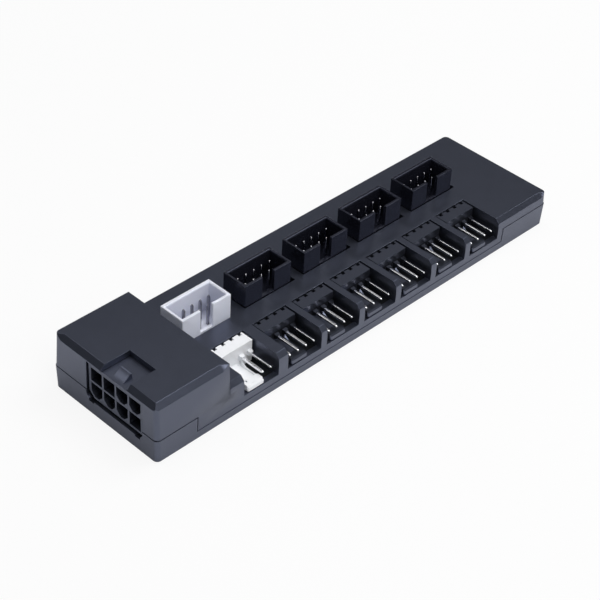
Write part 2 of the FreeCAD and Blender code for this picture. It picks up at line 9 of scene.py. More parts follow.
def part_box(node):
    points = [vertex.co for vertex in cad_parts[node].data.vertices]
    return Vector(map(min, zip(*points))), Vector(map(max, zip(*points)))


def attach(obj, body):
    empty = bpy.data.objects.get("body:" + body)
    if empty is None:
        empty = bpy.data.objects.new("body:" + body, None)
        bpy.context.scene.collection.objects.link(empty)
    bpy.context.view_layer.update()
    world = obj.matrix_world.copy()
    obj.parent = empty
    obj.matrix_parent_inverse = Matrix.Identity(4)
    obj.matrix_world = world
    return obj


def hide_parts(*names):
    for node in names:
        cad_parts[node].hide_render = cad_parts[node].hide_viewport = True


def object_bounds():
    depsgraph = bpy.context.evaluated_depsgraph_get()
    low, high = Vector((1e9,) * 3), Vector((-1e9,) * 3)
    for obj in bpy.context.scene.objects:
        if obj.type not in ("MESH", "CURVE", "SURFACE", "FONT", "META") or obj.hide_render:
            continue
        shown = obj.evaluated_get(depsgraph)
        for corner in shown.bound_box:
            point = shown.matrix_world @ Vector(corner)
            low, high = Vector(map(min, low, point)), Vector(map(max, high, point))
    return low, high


bl_info = {
    "name": "Fan Controller Hub",
    "version": (1, 0, 0),
    "blender": (4, 5, 0),
    "location": "3D View > Sidebar > Fan Hub",
    "description": "Dresses the packed fan controller hub and sets its studio",
    "category": "Add Mesh",
}

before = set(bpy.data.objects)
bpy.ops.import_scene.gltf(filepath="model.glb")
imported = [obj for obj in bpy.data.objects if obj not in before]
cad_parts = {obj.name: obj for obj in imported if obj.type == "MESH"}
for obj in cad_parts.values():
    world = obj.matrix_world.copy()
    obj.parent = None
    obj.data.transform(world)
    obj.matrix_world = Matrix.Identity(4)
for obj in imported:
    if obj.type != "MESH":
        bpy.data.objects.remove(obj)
cad_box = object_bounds()

MM = 0.001
BODY = "root"
COVER_NODES = ("deck_cover", "inlet_cover", "bay_rail")
BOX_HEADERS = 4
BOX_ROWS = 2
FAN_HEADERS = 6
FAN_WAYS = 4
SIGNAL_EMPTY_WAYS = 2
NO_PLACE = -1

# Points closer than this are one point, on the nodes' meshes and on the rounded ones
JOIN_DISTANCE = 0.002 * MM
CORNER_DISTANCE = 0.0002 * MM
# Faces that differ by less than the first angle are one face, and edges sharper than the second are rounded
FLAT_ANGLE = math.radians(0.6)
ROUND_ANGLE = math.radians(40)

# Seam between cover and tray: the heights of its edges, how near to one an edge lies, the share of the
# rounding that it gets, and how deep the power end's part of it is
TRAY_EDGE = 6.24 * MM
COVER_EDGE = 6.36 * MM
LOW_TRAY_EDGE = 2.14 * MM
LOW_TRAY_EDGE_RAISED = 2.18 * MM
SKIRT_EDGE = 2.20 * MM
SEAM_HEIGHTS = (TRAY_EDGE, COVER_EDGE, LOW_TRAY_EDGE_RAISED, SKIRT_EDGE)
SEAM_REACH = 0.05 * MM
SEAM_SHARE = 0.03
END_SEAM_SHARE = 0.35
SEAM_END_DEPTH = 1.6 * MM

# Moulded plastic: sizes of its clouds, how far colour and roughness drift with them, and how it reflects
PLASTIC_CLOUD = 9 * MM
PLASTIC_FLOW = 2.5 * MM
PLASTIC_DRIFT = 0.05
WHITE_DRIFT = 0.02
ROUGHNESS_DRIFT = 0.015
TEXTURED_IOR = 2.25
SMOOTH_IOR = 1.55
WHITE_IOR = 1.5
# Blue tint on the plastics' reflections: painted cool cast of the light, which the lamps do not carry
COOL_LIGHT_SHEEN_TINT = (0.66, 0.73, 1.0, 1.0)

# Size and depth of the grain on each smooth plastic
INLET_GRAIN = (0.25 * MM, 0.003 * MM)
HEADER_GRAIN = (0.3 * MM, 0.002 * MM)
CHIP_GRAIN = (0.1 * MM, 0.004 * MM)
RESISTOR_GRAIN = (0.2 * MM, 0.002 * MM)

# White plastic: how much light goes in, and how far
WHITE_GLOW = 0.4
SIGNAL_GLOW = 0.1
GLOW_DEPTH = 1.0 * MM

# Collars round the fan headers' pins: their height, and how the sheen fades there, which paints shade on the
# black plastic round the pins' roots
COLLAR_HEIGHT = 6.6 * MM
COLLAR_REACH = 0.75 * MM
COLLAR_FADE = 0.5 * MM
COLLAR_SHADE_SHEEN = 0.08
FULL_SHEEN = 0.5

# Tin plating: clouds, and drawing marks that are longer than they are wide
PLATING_CLOUD = 0.8 * MM
PLATING_DRIFT = 0.05
PLATING_SMOOTHER = 0.05
PLATING_ROUGHER = 0.06
MARK_SIZE = 0.12 * MM
MARK_STRETCH = (1.0, 0.3, 0.3)
MARK_DEPTH = 0.002 * MM

# Circuit board: the weave under the mask, and the mask's clouds
WEAVE_SIZE = 0.6 * MM
WEAVE_DISTORTION = 1.5
WEAVE_DEPTH = 0.002 * MM
WEAVE_STRENGTH = 0.4
MASK_CLOUD = 3 * MM
MASK_DRIFT = 0.2

# Noise: the range that most of it lies in, and how many finer layers it has in clouds, sheen and grain
NOISE_LOW = 0.3
NOISE_HIGH = 0.7
CLOUD_DETAIL = 3.0
FLOW_DETAIL = 5.0
FINE_DETAIL = 2.0

# Places of the colour sockets on a Mix node
MIX_FACTOR = 0
MIX_DARK = 6
MIX_LIGHT = 7
MIX_COLOUR = 2

# Studio: the floor's clouds, roughness and gap below the hub, how high the white round the horizon reaches as
# a share of straight up, and the camera's sensor in millimetres and nearest and farthest distance in metres
FLOOR_CLOUD = 0.4
FLOOR_DRIFT = 0.01
FLOOR_ROUGHNESS = 0.9
FLOOR_GAP = 0.01 * MM
HORIZON_REACH = 0.18
SENSOR_WIDTH = 36.0
NEAREST_SEEN = 0.01
FARTHEST_SEEN = 50.0
# Name, azimuth and elevation in degrees, distance, width and height in metres, and the setting for the level
LAMPS = (
    ("Top lamp", -172, 73, 0.9, 0.6, 0.6, "top_level"),
    ("Front lamp", -10, 48, 0.8, 0.45, 0.45, "front_level"),
    ("Right lamp", 70, 58, 0.8, 0.45, 0.45, "right_level"),
    ("Back lamp", 131, 39, 0.9, 0.30, 0.06, "back_level"),
)


# Settings

def length(name, description, default, high=1.0):
    """A size in metres for the sidebar."""
    return FloatProperty(name=name, description=description, default=default, min=0.0, max=high,
                         unit="LENGTH", precision=6)


def share(name, description, default, high=1.0):
    """A plain number from nought up for the sidebar."""
    return FloatProperty(name=name, description=description, default=default, min=0.0, max=high)


def colour(name, description, default):
    """A colour for the sidebar."""
    return FloatVectorProperty(name=name, description=description, default=default, size=3,
                               min=0.0, max=1.0, subtype="COLOR")


class CaseSettings(bpy.types.PropertyGroup):
    """Sizes and colours of the moulded case."""

    edge_radius: length("Edge radius", "Rounding of the cover's and the tray's edges", 0.18 * MM)
    black: colour("Case black", "Colour of the textured case plastic", (0.0130, 0.0142, 0.0184))
    roughness: share("Case roughness", "Roughness of the textured case plastic", 0.33)
    grain: length("Grain size", "Spacing of the fine texture on the case", 0.16 * MM)
    grain_depth: length("Grain depth", "Depth of the fine texture on the case", 0.006 * MM)


class InletSettings(bpy.types.PropertyGroup):
    """Sizes and colours of the power inlet."""

    edge_radius: length("Edge radius", "Rounding of the housing's edges", 0.10 * MM)
    black: colour("Inlet black", "Colour of the inlet's housing", (0.0115, 0.0125, 0.016))
    roughness: share("Inlet roughness", "Roughness of the inlet's housing", 0.38)


class HeaderSettings(bpy.types.PropertyGroup):
    """Sizes and colours of the box headers and fan headers."""

    edge_radius: length("Edge radius", "Rounding of the headers' edges", 0.10 * MM)
    black: colour("Header black", "Colour of the black headers", (0.011, 0.0115, 0.018))
    # The box header's own white, with a blue in it that paints the cool cast of the shade it stands in
    white: colour("Header white", "Colour of the white box header", (0.84, 0.86, 0.98))
    signal_white: colour("Signal white", "Colour of the white fan header", (0.96, 0.97, 1.0))
    roughness: share("Header roughness", "Roughness of the headers", 0.18)
    fan_black: colour("Fan header black", "Colour of the black fan headers", (0.013, 0.014, 0.018))
    fan_roughness: share("Fan header roughness", "Roughness of the black fan headers", 0.30)


class PinSettings(bpy.types.PropertyGroup):
    """Sizes and colours of the pins."""

    size: length("Pin size", "Side of a square pin", 0.64 * MM)
    tip_size: length("Tip size", "Side of a pin's blunt tip", 0.30 * MM)
    tip_length: length("Tip length", "Length of a pin's tapered tip", 0.60 * MM)
    pitch: length("Pitch", "Spacing of the pins", 2.54 * MM)
    columns: IntProperty(name="Columns", description="Pins in a row of a box header", default=5, min=2)
    bend_radius: length("Bend radius", "Outer radius of a fan pin's bend", 0.70 * MM)
    bend_steps: IntProperty(name="Bend steps", description="Facets round a pin's bend", default=8, min=2)
    edge_radius: length("Edge radius", "Rounding of a pin's edges", 0.12 * MM)
    silver: colour("Pin silver", "Colour of the tin plating", (0.93, 0.93, 0.95))
    # The input header's pins are painted dark grey: painted shade for the dark reflections inside the white
    # box
    dull: colour("Pin grey", "Colour of the input header's duller pins", (0.34, 0.34, 0.38))
    # The black box headers' pins are painted a darker silver than their tin: painted shade deep in the
    # shrouds
    deep: colour("Deep pin silver", "Colour of the pins inside the black box headers", (0.60, 0.60, 0.64))
    roughness: share("Pin roughness", "Roughness of the tin plating", 0.16)
    dull_roughness: share("Dull pin roughness", "Roughness of the input header's pins", 0.30)
    deep_roughness: share("Deep pin roughness", "Roughness of the black box headers' pins", 0.09)


class BoardSettings(bpy.types.PropertyGroup):
    """Colours and roughness of the circuit board and what stands on it."""

    mask: colour("Solder mask", "Colour of the circuit board", (0.006, 0.007, 0.008))
    can: colour("Can", "Colour of the capacitors' cans", (0.62, 0.62, 0.65))
    package: colour("Package", "Colour of the chips", (0.015, 0.015, 0.016))
    ceramic: colour("Ceramic", "Colour of the resistors", (0.02, 0.02, 0.022))
    mask_roughness: share("Mask roughness", "Roughness of the circuit board", 0.30)
    can_roughness: share("Can roughness", "Roughness of the capacitors' cans", 0.30)
    package_roughness: share("Package roughness", "Roughness of the chips", 0.50)
    ceramic_roughness: share("Ceramic roughness", "Roughness of the resistors", 0.35)


class StageSettings(bpy.types.PropertyGroup):
    """Camera, lamps and floor."""

    azimuth: FloatProperty(name="Azimuth", description="Where the camera stands round the hub",
                           default=math.radians(-47.128), subtype="ANGLE")
    elevation: FloatProperty(name="Elevation", description="How high the camera stands",
                             default=math.radians(38.843), subtype="ANGLE")
    roll: FloatProperty(name="Roll", description="How far the camera leans", default=math.radians(3.351),
                        subtype="ANGLE")
    distance: length("Distance", "From the camera to the hub", 407.69 * MM, high=10.0)
    aim_height: length("Aim height", "Height of the point that the camera turns round", 6.0 * MM)
    slide_right: FloatProperty(name="Slide right", description="Camera moved sideways in its own view",
                               default=-3.972 * MM, unit="LENGTH", precision=6)
    slide_up: FloatProperty(name="Slide up", description="Camera moved upwards in its own view",
                            default=-5.100 * MM, unit="LENGTH", precision=6)
    lens: FloatProperty(name="Lens", description="Focal length in millimetres", default=102.897, min=10.0)
    floor_size: length("Floor size", "Side of the square floor", 6.0, high=20.0)
    floor_white: colour("Floor white", "Colour of the floor", (0.88, 0.88, 0.88))
    floor_shine: share("Floor shine", "Share of the floor's brightness that no shadow takes away", 0.88)
    floor_gloss: share("Floor gloss", "The same share in what glossy surfaces show of the floor", 0.03)
    sky: colour("Sky", "Colour of the studio's soft light", (0.94, 0.97, 1.0))
    ceiling: share("Ceiling", "Brightness of the studio overhead", 0.08)
    top_level: share("Top level", "What the top lamp gives a white surface that faces it", 0.28, 4.0)
    front_level: share("Front level", "What the front lamp gives a white surface that faces it", 0.35, 4.0)
    right_level: share("Right level", "What the right lamp gives a white surface that faces it", 0.50, 4.0)
    back_level: share("Back level", "What the back lamp gives a white surface that faces it", 0.005, 4.0)


# Materials

def link(tree, source, target):
    """Join one node's output to another's input."""
    tree.links.new(source, target)


def worked_out(tree, operation, *values):
    """Result of one sum on sockets and plain numbers."""
    node = tree.nodes.new("ShaderNodeMath")
    node.operation = operation
    for value, socket in zip(values, node.inputs):
        if isinstance(value, bpy.types.NodeSocket):
            link(tree, value, socket)
        else:
            socket.default_value = value
    return node.outputs[0]


def moved_range(tree, value, old_range, new_range, interpolation="LINEAR"):
    """A value carried over from one range to another, and held at its ends."""
    node = tree.nodes.new("ShaderNodeMapRange")
    node.interpolation_type = interpolation
    for side, old, new in zip(("Min", "Max"), old_range, new_range):
        node.inputs["From " + side].default_value = old
        node.inputs["To " + side].default_value = new
    link(tree, value, node.inputs["Value"])
    return node.outputs["Result"]


def own_coordinates(tree):
    """Coordinates of the object that the material is on."""
    return tree.nodes.new("ShaderNodeTexCoord").outputs["Object"]


def height_of(tree, coordinates):
    """The upright part of coordinates."""
    parts = tree.nodes.new("ShaderNodeSeparateXYZ")
    link(tree, coordinates, parts.inputs[0])
    return parts.outputs["Z"]


def blank_material(name):
    """A material with nothing but its shader, and the shader."""
    material = bpy.data.materials.new(name)
    material.use_nodes = True
    return material, material.node_tree, material.node_tree.nodes["Principled BSDF"]


def noise(tree, coordinates, size, detail=CLOUD_DETAIL, stretch=(1.0, 1.0, 1.0)):
    """Noise whose features are about this long in metres, on the object's own coordinates."""
    mapping = tree.nodes.new("ShaderNodeMapping")
    mapping.inputs["Scale"].default_value = stretch
    link(tree, coordinates, mapping.inputs["Vector"])
    texture = tree.nodes.new("ShaderNodeTexNoise")
    texture.inputs["Scale"].default_value = 1.0 / size
    texture.inputs["Detail"].default_value = detail
    link(tree, mapping.outputs["Vector"], texture.inputs["Vector"])
    return texture.outputs["Fac"]


def spread(tree, value, low, high):
    """Noise spread over a range of values."""
    return moved_range(tree, value, (NOISE_LOW, NOISE_HIGH), (low, high))


def tinted(tree, value, colour_value, variation):
    """A colour that drifts a little lighter and darker with the noise."""
    mix = tree.nodes.new("ShaderNodeMix")
    mix.data_type = "RGBA"
    dark, light = mix.inputs[MIX_DARK], mix.inputs[MIX_LIGHT]
    dark.default_value = [c * (1 - variation) for c in colour_value] + [1.0]
    light.default_value = [min(1.0, c * (1 + variation)) for c in colour_value] + [1.0]
    link(tree, value, mix.inputs[MIX_FACTOR])
    return mix.outputs[MIX_COLOUR]


def bumped(tree, value, depth, strength=1.0):
    """Surface normal from a height in metres."""
    bump = tree.nodes.new("ShaderNodeBump")
    bump.inputs["Strength"].default_value = strength
    bump.inputs["Distance"].default_value = depth
    link(tree, value, bump.inputs["Height"])
    return bump.outputs["Normal"]


def moulded_plastic(name, colour_value, roughness, grain, drift=PLASTIC_DRIFT, ior=TEXTURED_IOR):
    """Moulded plastic: a colour that drifts slightly, uneven sheen and the mould's fine grain."""
    material, tree, shader = blank_material(name)
    coordinates = own_coordinates(tree)
    grain_size, grain_depth = grain
    cloud = noise(tree, coordinates, PLASTIC_CLOUD)
    flow = noise(tree, coordinates, PLASTIC_FLOW, FLOW_DETAIL)
    fine = noise(tree, coordinates, grain_size, FINE_DETAIL)
    sheen = spread(tree, flow, roughness - ROUGHNESS_DRIFT, roughness + ROUGHNESS_DRIFT)
    link(tree, tinted(tree, cloud, colour_value, drift), shader.inputs["Base Color"])
    link(tree, sheen, shader.inputs["Roughness"])
    link(tree, bumped(tree, fine, grain_depth), shader.inputs["Normal"])
    shader.inputs["IOR"].default_value = ior
    shader.inputs["Specular Tint"].default_value = COOL_LIGHT_SHEEN_TINT
    return material


def fan_plastic(name, colour_value, roughness):
    """Moulded black plastic whose sheen fades at the height of the pins' collars: painted shade round the
    pins' roots.
    """
    material = moulded_plastic(name, colour_value, roughness, HEADER_GRAIN)
    tree = material.node_tree
    # The sheen turned down round the pins' height is painted shade, not a change in the plastic
    above = worked_out(tree, "SUBTRACT", height_of(tree, own_coordinates(tree)), COLLAR_HEIGHT)
    sheen = moved_range(tree, worked_out(tree, "ABSOLUTE", above), (COLLAR_REACH, COLLAR_REACH + COLLAR_FADE),
                        (COLLAR_SHADE_SHEEN, FULL_SHEEN), "SMOOTHSTEP")
    link(tree, sheen, tree.nodes["Principled BSDF"].inputs["Specular IOR Level"])
    return material


def white_plastic(name, colour_value, roughness, glow):
    """Moulded white plastic that lets a little light through."""
    material = moulded_plastic(name, colour_value, roughness, HEADER_GRAIN, WHITE_DRIFT, WHITE_IOR)
    shader = material.node_tree.nodes["Principled BSDF"]
    shader.inputs["Subsurface Weight"].default_value = glow
    shader.inputs["Subsurface Radius"].default_value = (1.0, 1.0, 1.0)
    shader.inputs["Subsurface Scale"].default_value = GLOW_DEPTH
    return material


def plated_metal(name, colour_value, roughness):
    """Bare metal or plating with faint drawing marks and clouded sheen."""
    material, tree, shader = blank_material(name)
    coordinates = own_coordinates(tree)
    cloud = noise(tree, coordinates, PLATING_CLOUD)
    marks = noise(tree, coordinates, MARK_SIZE, FINE_DETAIL, MARK_STRETCH)
    sheen = spread(tree, cloud, roughness - PLATING_SMOOTHER, roughness + PLATING_ROUGHER)
    link(tree, tinted(tree, cloud, colour_value, PLATING_DRIFT), shader.inputs["Base Color"])
    link(tree, sheen, shader.inputs["Roughness"])
    link(tree, bumped(tree, marks, MARK_DEPTH), shader.inputs["Normal"])
    shader.inputs["Metallic"].default_value = 1.0
    return material


def board_laminate(name, colour_value, roughness):
    """Solder mask over laminate: glossy, with the weave showing faintly through."""
    material, tree, shader = blank_material(name)
    coordinates = own_coordinates(tree)
    waves = tree.nodes.new("ShaderNodeTexWave")
    waves.inputs["Scale"].default_value = 1.0 / WEAVE_SIZE
    waves.inputs["Distortion"].default_value = WEAVE_DISTORTION
    link(tree, coordinates, waves.inputs["Vector"])
    cloud = noise(tree, coordinates, MASK_CLOUD)
    link(tree, tinted(tree, cloud, colour_value, MASK_DRIFT), shader.inputs["Base Color"])
    link(tree, bumped(tree, waves.outputs["Fac"], WEAVE_DEPTH, WEAVE_STRENGTH), shader.inputs["Normal"])
    shader.inputs["Roughness"].default_value = roughness
    return material


def finishes():
    """Every finish of the hub, made once and found again by name."""
    scene = bpy.context.scene
    case, inlet, header = scene.hub_case, scene.hub_inlet, scene.hub_header
    pin, board = scene.hub_pin, scene.hub_board
    case_grain = (case.grain, case.grain_depth)
    recipes = {
        "case_plastic": (moulded_plastic, case.black, case.roughness, case_grain),
        "inlet_plastic": (moulded_plastic, inlet.black, inlet.roughness, INLET_GRAIN),
        "header_plastic": (moulded_plastic, header.black, header.roughness, HEADER_GRAIN, PLASTIC_DRIFT,
                           SMOOTH_IOR),
        "fan_plastic": (fan_plastic, header.fan_black, header.fan_roughness),
        "white_plastic": (white_plastic, header.white, header.roughness, WHITE_GLOW),
        "signal_plastic": (white_plastic, header.signal_white, header.roughness, SIGNAL_GLOW),
        "plated_pins": (plated_metal, pin.silver, pin.roughness),
        # Pins painted darker than their tin: painted shade inside the white box header
        "dull_pins": (plated_metal, pin.dull, pin.dull_roughness),
        # Pins painted darker than their tin: painted shade deep in the black box headers
        "deep_pins": (plated_metal, pin.deep, pin.deep_roughness),
        "board_laminate": (board_laminate, board.mask, board.mask_roughness),
        "capacitor_can": (plated_metal, board.can, board.can_roughness),
        "chip_package": (moulded_plastic, board.package, board.package_roughness, CHIP_GRAIN),
        "resistor_body": (moulded_plastic, board.ceramic, board.ceramic_roughness, RESISTOR_GRAIN),
    }
    made = {}
    for finish, (recipe, *values) in recipes.items():
        name = "hub_" + finish
        made[finish] = bpy.data.materials.get(name) or recipe(name, *values)
    return made


# Shapes

def new_object(name, data):
    """An object at the origin, unturned and unscaled, in the scene."""
    made = bpy.data.objects.new(name, data)
    bpy.context.scene.collection.objects.link(made)
    return made


def make_whole(source, target):
    """Join a mesh's loose triangles and make its flat faces whole, into the target mesh."""
    shape = bmesh.new()
    shape.from_mesh(source)
    bmesh.ops.remove_doubles(shape, verts=shape.verts, dist=JOIN_DISTANCE)
    bmesh.ops.dissolve_limit(shape, angle_limit=FLAT_ANGLE, verts=shape.verts, edges=shape.edges)
    shape.to_mesh(target)
    shape.free()


def joined_copy(node_name, name):
    """A copy of a CAD node with whole faces."""
    mesh = bpy.data.meshes.new(name)
    make_whole(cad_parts[node_name].data, mesh)
    return new_object(name, mesh)


def settled(piece):
    """Turn a piece's modifiers into plain mesh."""
    depsgraph = bpy.context.evaluated_depsgraph_get()
    mesh = bpy.data.meshes.new_from_object(piece.evaluated_get(depsgraph), depsgraph=depsgraph)
    mesh.name = piece.name
    piece.modifiers.clear()
    piece.data = mesh
    return piece


def edge_share(edge):
    """Share of the radius that an edge gets: the seam's edges stay sharper, less so at the power end."""
    ends = [vertex.co for vertex in edge.verts]
    if not all(min(abs(end.z - height) for height in SEAM_HEIGHTS) < SEAM_REACH for end in ends):
        return 1.0
    at_power_end = all(end.x < cad_box[0].x + SEAM_END_DEPTH for end in ends)
    return END_SEAM_SHARE if at_power_end else SEAM_SHARE


def weigh_edges(piece):
    """Mark how much of the radius each sharp edge gets."""
    shape = bmesh.new()
    shape.from_mesh(piece.data)
    weight = shape.edges.layers.float.new("bevel_weight_edge")
    for edge in shape.edges:
        if len(edge.link_faces) == 2 and edge.calc_face_angle(0.0) > ROUND_ANGLE:
            edge[weight] = edge_share(edge)
    shape.to_mesh(piece.data)
    shape.free()


def rounded(piece, radius, steps=2, seam=False):
    """Round a piece's sharp edges; with seam, those along the seam only slightly."""
    bevel = piece.modifiers.new("Rounded edges", "BEVEL")
    bevel.width = radius
    bevel.segments = steps
    bevel.limit_method = "WEIGHT" if seam else "ANGLE"
    bevel.angle_limit = ROUND_ANGLE
    bevel.use_clamp_overlap = True
    if seam:
        weigh_edges(piece)
        whole = piece.modifiers.new("Corners made whole", "WELD")
        whole.merge_threshold = CORNER_DISTANCE
    piece.data.shade_smooth()
    weighted = piece.modifiers.new("Flat faces stay flat", "WEIGHTED_NORMAL")
    weighted.mode = "FACE_AREA"
    weighted.keep_sharp = True
    return settled(piece)


def dressed(piece, finish, slot, *nodes):
    """Give a piece its finish and its body, and hide the nodes that it stands for."""
    piece.data.materials.clear()
    piece.data.materials.append(finish)
    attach(piece, BODY)
    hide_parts(*nodes)
    return piece


def paint_node(node_name, finish):
    """Give a CAD node that stays as it is its finish."""
    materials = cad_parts[node_name].data.materials
    if not materials:
        materials.append(finish)
    for index in range(len(materials)):
        materials[index] = finish


def square_bar(name, stations):
    """Closed square bar through stations, each a centre, a side and the two directions of its square."""
    shape = bmesh.new()
    corners = ((-1, -1), (1, -1), (1, 1), (-1, 1))
    rings = []
    for centre, side, across, up in stations:
        rings.append([shape.verts.new(centre + (across * a + up * b) * (side / 2)) for a, b in corners])
    for before, after in zip(rings, rings[1:]):
        for index in range(len(corners)):
            following = (index + 1) % len(corners)
            shape.faces.new((before[index], before[following], after[following], after[index]))
    shape.faces.new(rings[0][::-1])
    shape.faces.new(rings[-1])
    bmesh.ops.recalc_face_normals(shape, faces=shape.faces)
    mesh = bpy.data.meshes.new(name)
    shape.to_mesh(mesh)
    shape.free()
    return new_object(name, mesh)


def upright_pin(name, bottom, top):
    """One straight pin at the origin, pointed at both ends."""
    pin = bpy.context.scene.hub_pin
    across, up = Vector((1, 0, 0)), Vector((0, 1, 0))
    levels = (
        (bottom, pin.tip_size),
        (bottom + pin.tip_length / 2, pin.size),
        (top - pin.tip_length, pin.size),
        (top, pin.tip_size),
    )
    return square_bar(name, [(Vector((0, 0, z)), side, across, up) for z, side in levels])


def elbow_pin(name, size, tip_size, tip_length, reach, height, bottom, bend_radius, steps):
    """One pin that runs along +Y from its tip at the origin, then down; height is its centre line."""
    across = Vector((1, 0, 0))
    middle = bend_radius - size / 2
    stations = [
        (Vector((0, 0, height)), tip_size, across, Vector((0, 0, 1))),
        (Vector((0, tip_length, height)), size, across, Vector((0, 0, 1))),
    ]
    turn = Vector((0, reach - middle, height - middle))
    for step in range(steps + 1):
        angle = math.pi / 2 * step / steps
        away = Vector((0, math.sin(angle), math.cos(angle)))
        stations.append((turn + away * middle, size, across, away))
    stations.append((Vector((0, reach, bottom + tip_length / 2)), size, across, Vector((0, 1, 0))))
    stations.append((Vector((0, reach, bottom)), tip_size, across, Vector((0, 1, 0))))
    return square_bar(name, stations)


def pin_grid_tree():
    """Node tree that repeats one pin over a grid, leaves one place empty and moves the grid into place."""
    name = "Pin grid"
    tree = bpy.data.node_groups.get(name)
    if tree:
        return tree
    tree = bpy.data.node_groups.new(name, "GeometryNodeTree")
    face = tree.interface
    face.new_socket("Pin", in_out="INPUT", socket_type="NodeSocketGeometry")
    for label, kind in (("Columns", "Int"), ("Rows", "Int"), ("Pitch", "Float"), ("Empty Place", "Int"),
                        ("Centre", "Vector"), ("Finish", "Material")):
        face.new_socket(label, in_out="INPUT", socket_type="NodeSocket" + kind)
    face.new_socket("Pins", in_out="OUTPUT", socket_type="NodeSocketGeometry")
    given = tree.nodes.new("NodeGroupInput").outputs
    grid = tree.nodes.new("GeometryNodeMeshGrid")
    for axis, count in (("X", "Columns"), ("Y", "Rows")):
        gaps = worked_out(tree, "SUBTRACT", given[count], 1.0)
        link(tree, worked_out(tree, "MULTIPLY", gaps, given["Pitch"]), grid.inputs["Size " + axis])
        link(tree, given[count], grid.inputs["Vertices " + axis])
    empty = tree.nodes.new("FunctionNodeCompare")
    empty.data_type = "INT"
    empty.operation = "EQUAL"
    link(tree, tree.nodes.new("GeometryNodeInputIndex").outputs[0], empty.inputs["A"])
    link(tree, given["Empty Place"], empty.inputs["B"])
    places = tree.nodes.new("GeometryNodeDeleteGeometry")
    places.domain = "POINT"
    link(tree, grid.outputs["Mesh"], places.inputs["Geometry"])
    link(tree, empty.outputs["Result"], places.inputs["Selection"])
    repeat = tree.nodes.new("GeometryNodeInstanceOnPoints")
    link(tree, places.outputs["Geometry"], repeat.inputs["Points"])
    link(tree, given["Pin"], repeat.inputs["Instance"])
    real = tree.nodes.new("GeometryNodeRealizeInstances")
    link(tree, repeat.outputs["Instances"], real.inputs["Geometry"])
    move = tree.nodes.new("GeometryNodeTransform")
    link(tree, real.outputs["Geometry"], move.inputs["Geometry"])
    link(tree, given["Centre"], move.inputs["Translation"])
    finish = tree.nodes.new("GeometryNodeSetMaterial")
    link(tree, move.outputs["Geometry"], finish.inputs["Geometry"])
    link(tree, given["Finish"], finish.inputs["Material"])
    link(tree, finish.outputs["Geometry"], tree.nodes.new("NodeGroupOutput").inputs["Pins"])
    return tree


def pins_from(pin, finish, node_name, centre, columns, rows=1, empty_place=NO_PLACE):
    """Repeat one pin over a header's grid, and let the pins stand for the header's CAD pins."""
    settings = bpy.context.scene.hub_pin
    rounded(pin, settings.edge_radius)
    modifier = pin.modifiers.new("Pin grid", "NODES")
    modifier.node_group = pin_grid_tree()
    values = {"Columns": columns, "Rows": rows, "Pitch": settings.pitch, "Empty Place": empty_place,
              "Centre": centre, "Finish": finish}
    for item in modifier.node_group.interface.items_tree:
        if item.in_out == "INPUT" and item.name in values:
            modifier[item.identifier] = values[item.name]
    settled(pin)
    return dressed(pin, finish, "plated_pins", node_name)


def moulded_cover():
    """The cover as the one moulding that it is, from its three nodes."""
    cover, *others = [joined_copy(name, "cover_from_" + name) for name in COVER_NODES]
    for other in others:
        union = cover.modifiers.new("One moulding", "BOOLEAN")
        union.operation = "UNION"
        union.solver = "EXACT"
        union.object = other
    settled(cover)
    for other in others:
        bpy.data.objects.remove(other)
    cover.name = "moulded_cover"
    make_whole(cover.data, cover.data)
    return cover


def moulded_tray():
    """The tray, with its edge under the bays raised so that the seam there is a faint line."""
    tray = joined_copy("bottom_shell", "moulded_tray")
    for vertex in tray.data.vertices:
        if abs(vertex.co.z - LOW_TRAY_EDGE) < JOIN_DISTANCE:
            vertex.co.z = LOW_TRAY_EDGE_RAISED
    return tray


# Operators

class AddCase(bpy.types.Operator):
    """Add the moulded cover and the tray below it"""

    bl_idname = "fan_hub.add_case"
    bl_label = "Case"

    def execute(self, context):
        settings = context.scene.hub_case
        finish = finishes()["case_plastic"]
        cover = rounded(moulded_cover(), settings.edge_radius, seam=True)
        dressed(cover, finish, "case_plastic", *COVER_NODES)
        tray = rounded(moulded_tray(), settings.edge_radius, seam=True)
        dressed(tray, finish, "case_plastic", "bottom_shell")
        return {"FINISHED"}


class AddInlet(bpy.types.Operator):
    """Add the power inlet's housing and its contacts"""

    bl_idname = "fan_hub.add_inlet"
    bl_label = "Power inlet"

    def execute(self, context):
        made = finishes()
        housing = joined_copy("power_inlet_housing", "inlet_housing")
        rounded(housing, context.scene.hub_inlet.edge_radius)
        dressed(housing, made["inlet_plastic"], "inlet_plastic", "power_inlet_housing")
        contacts = joined_copy("power_inlet_contacts", "inlet_contacts")
        rounded(contacts, context.scene.hub_pin.edge_radius, steps=1)
        dressed(contacts, made["plated_pins"], "plated_pins", "power_inlet_contacts")
        return {"FINISHED"}


class AddBoxHeaders(bpy.types.Operator):
    """Add the white box header and the black ones, with their pins"""

    bl_idname = "fan_hub.add_box_headers"
    bl_label = "Box headers"

    def execute(self, context):
        made = finishes()
        header, pin = context.scene.hub_header, context.scene.hub_pin
        empty_place = (pin.columns - 1) * BOX_ROWS
        headers = [("input_header_shell", "input_header_pins", "white_plastic", "dull_pins")]
        for number in range(1, BOX_HEADERS + 1):
            headers.append(("box_header_shell_%d" % number, "box_header_pins_%d" % number,
                            "header_plastic", "deep_pins"))
        for shell_node, pins_node, slot, plating in headers:
            shroud = joined_copy(shell_node, shell_node.replace("shell", "shroud"))
            rounded(shroud, header.edge_radius)
            dressed(shroud, made[slot], slot, shell_node)
            low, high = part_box(pins_node)
            middle = (low + high) / 2
            upright = upright_pin(pins_node.replace("pins", "contacts"), low.z, high.z)
            centre = (middle.x, middle.y, 0.0)
            pins_from(upright, made[plating], pins_node, centre, pin.columns, BOX_ROWS, empty_place)
        return {"FINISHED"}


